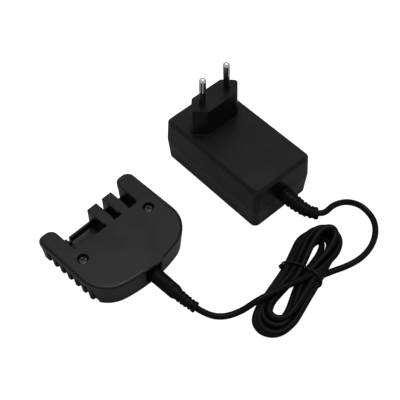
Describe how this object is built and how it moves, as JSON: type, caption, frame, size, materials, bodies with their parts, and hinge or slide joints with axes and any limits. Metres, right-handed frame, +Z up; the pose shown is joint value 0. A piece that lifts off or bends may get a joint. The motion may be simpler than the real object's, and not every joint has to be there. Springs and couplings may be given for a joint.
{
  "type": "power tool battery charger",
  "caption": "Wall-plug power adapter with two round mains pins, a ribbed boot, a tied lead and a barrel plug in a flat slide-on battery dock with finger terminals.",
  "frame": {"origin": "on the floor plane, under the middle of the adapter case's flat bottom face", "axes": "+X along the adapter case from its plug block towards its lead, +Y across it away from the dock, +Z up out of the mains pins"},
  "size_m": [0.1351, 0.1543, 0.0681],
  "materials": {
    "case_plastic": "satin black ABS/PC, fine moulded grain",
    "dock_plastic": "satin black ABS, fine moulded grain",
    "terminal_plastic": "smooth black nylon",
    "soft_plastic": "soft black PVC, slightly glossy",
    "cord_jacket": "black PVC jacket, slightly glossy",
    "tie_plastic": "black plastic-covered wire",
    "pin_metal": "polished nickel plate",
    "sleeve_plastic": "black nylon",
    "contact_metal": "tin-plated brass",
    "screw_steel": "blackened steel",
    "board_laminate": "green solder mask",
    "component_plastic": "black epoxy",
    "box_plastic": "yellow film-capacitor case",
    "can_sleeve": "shrink sleeve over aluminium can",
    "disc_epoxy": "blue epoxy dip",
    "fuse_plastic": "brown-grey fuse body",
    "ferrite": "sintered ferrite",
    "winding_tape": "yellow polyester tape over copper",
    "copper": "enamelled copper",
    "bobbin_plastic": "phenolic",
    "heat_sink_metal": "bare sheet",
    "wire_red": "red wire",
    "wire_black": "black wire",
    "wire_blue": "blue wire",
    "wire_brown": "brown wire"
  },
  "bodies": {
    "adapter": {"adapter_bottom_shell": "case_plastic", "adapter_top_shell": "case_plastic", "pin_carrier": "bobbin_plastic", "mains_pin_left": "pin_metal", "mains_pin_right": "pin_metal", "pin_sleeve_left": "sleeve_plastic", "pin_sleeve_right": "sleeve_plastic", "adapter_board": "board_laminate", "fuse": "fuse_plastic", "interference_choke": "copper", "x_capacitor": "box_plastic", "bridge_rectifier": "component_plastic", "bulk_capacitor": "can_sleeve", "controller_chip": "component_plastic", "heat_sink": "heat_sink_metal", "switching_transistor": "component_plastic", "transformer_bobbin": "bobbin_plastic", "transformer_core": "ferrite", "transformer_winding": "winding_tape", "optocoupler": "component_plastic", "y_capacitor": "disc_epoxy", "output_rectifier": "component_plastic", "output_capacitor_1": "can_sleeve", "output_capacitor_2": "can_sleeve", "mains_wire_left": "wire_brown", "mains_wire_right": "wire_blue", "output_wire_1": "wire_red", "output_wire_2": "wire_black", "strain_relief_boot": "soft_plastic", "lead_adapter_side": "cord_jacket", "lead_hank": "cord_jacket", "lead_plug_side": "cord_jacket", "twist_tie": "tie_plastic", "plug_moulding": "soft_plastic", "barrel_sleeve": "contact_metal", "barrel_insulator": "component_plastic", "barrel_inner_contact": "contact_metal"},
    "dock": {"dock_base": "dock_plastic", "dock_cover": "dock_plastic", "terminal_block": "terminal_plastic", "contact_clip_1": "contact_metal", "contact_clip_2": "contact_metal", "cover_screws": "screw_steel", "jack_housing": "component_plastic", "jack_centre_pin": "contact_metal", "jack_spring": "contact_metal", "dock_board": "board_laminate", "dock_resistor": "box_plastic", "dock_wire_1": "wire_red", "dock_wire_2": "wire_black"}
  },
  "joints": [
    {"name": "dock_pull_off", "type": "slide", "parent": "adapter", "child": "dock", "axis": [-0.9986, -0.0523, 0], "range_m": [0, 0.015]}
  ]
}
